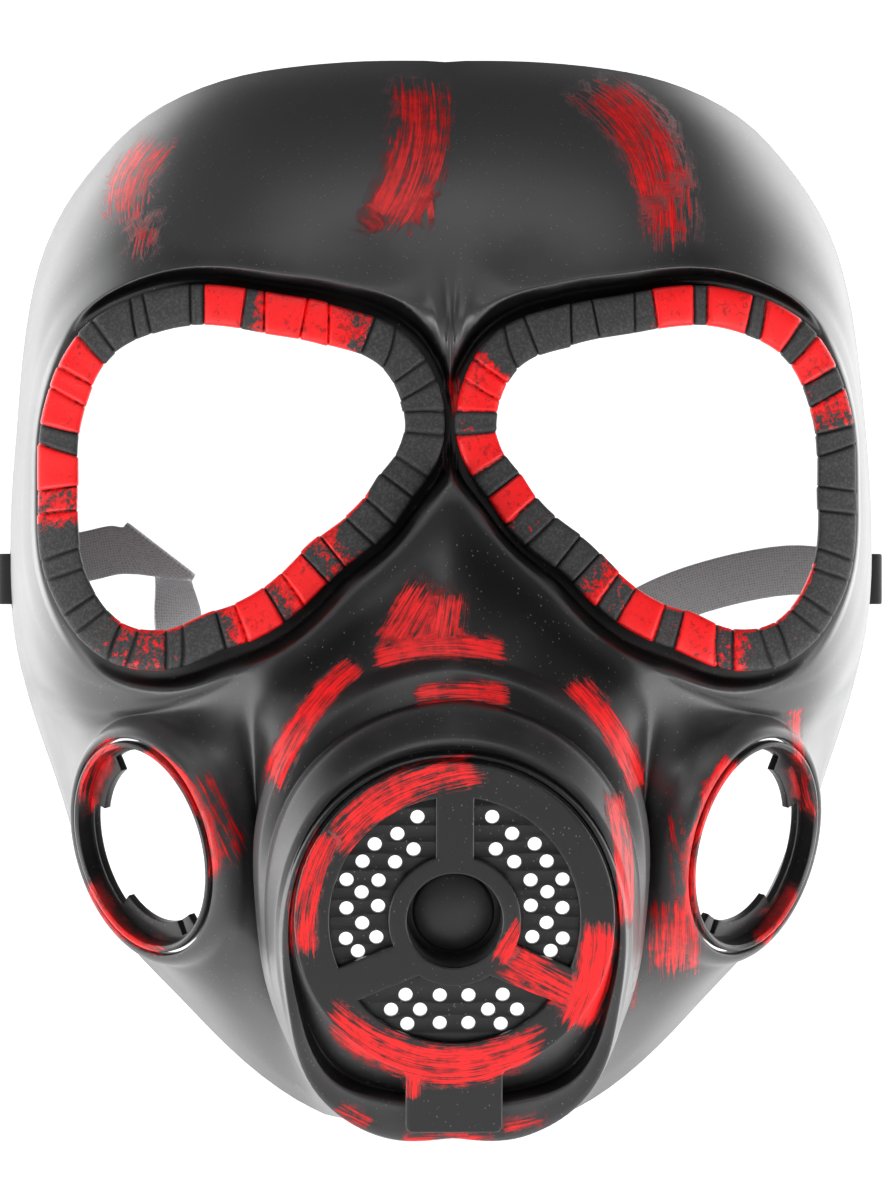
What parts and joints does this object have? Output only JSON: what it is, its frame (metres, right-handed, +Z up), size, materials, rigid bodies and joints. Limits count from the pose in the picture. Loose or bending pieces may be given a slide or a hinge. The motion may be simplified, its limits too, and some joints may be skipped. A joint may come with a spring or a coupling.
{
  "type": "gas mask style costume mask",
  "caption": "Rigid full-face costume mask in a gas mask style, with wrapped eye rims, a perforated snout cap, empty filter sockets on the cheeks and an elastic head strap.",
  "frame": {"origin": "where a face sits in the mask: on its middle plane, level with the middle of its height and with its side edges", "axes": "+Z up, the mask looks along -Y, +X is the wearer's left"},
  "size_m": [0.2108, 0.148, 0.2454],
  "materials": {
    "black_plastic": "satin black with dry-brushed red paint",
    "rim_wrap": "matte dark grey with red paint on some segments",
    "elastic_band": "woven grey elastic with black sewn ends"
  },
  "bodies": {
    "root": {"face_shell": "black_plastic", "eye_rim_left": "rim_wrap", "eye_rim_right": "rim_wrap", "front_cap": "black_plastic", "grille_plate": "black_plastic", "valve_button": "black_plastic", "port_ring_left": "black_plastic", "port_ring_right": "black_plastic", "strap": "elastic_band"}
  },
  "joints": []
}
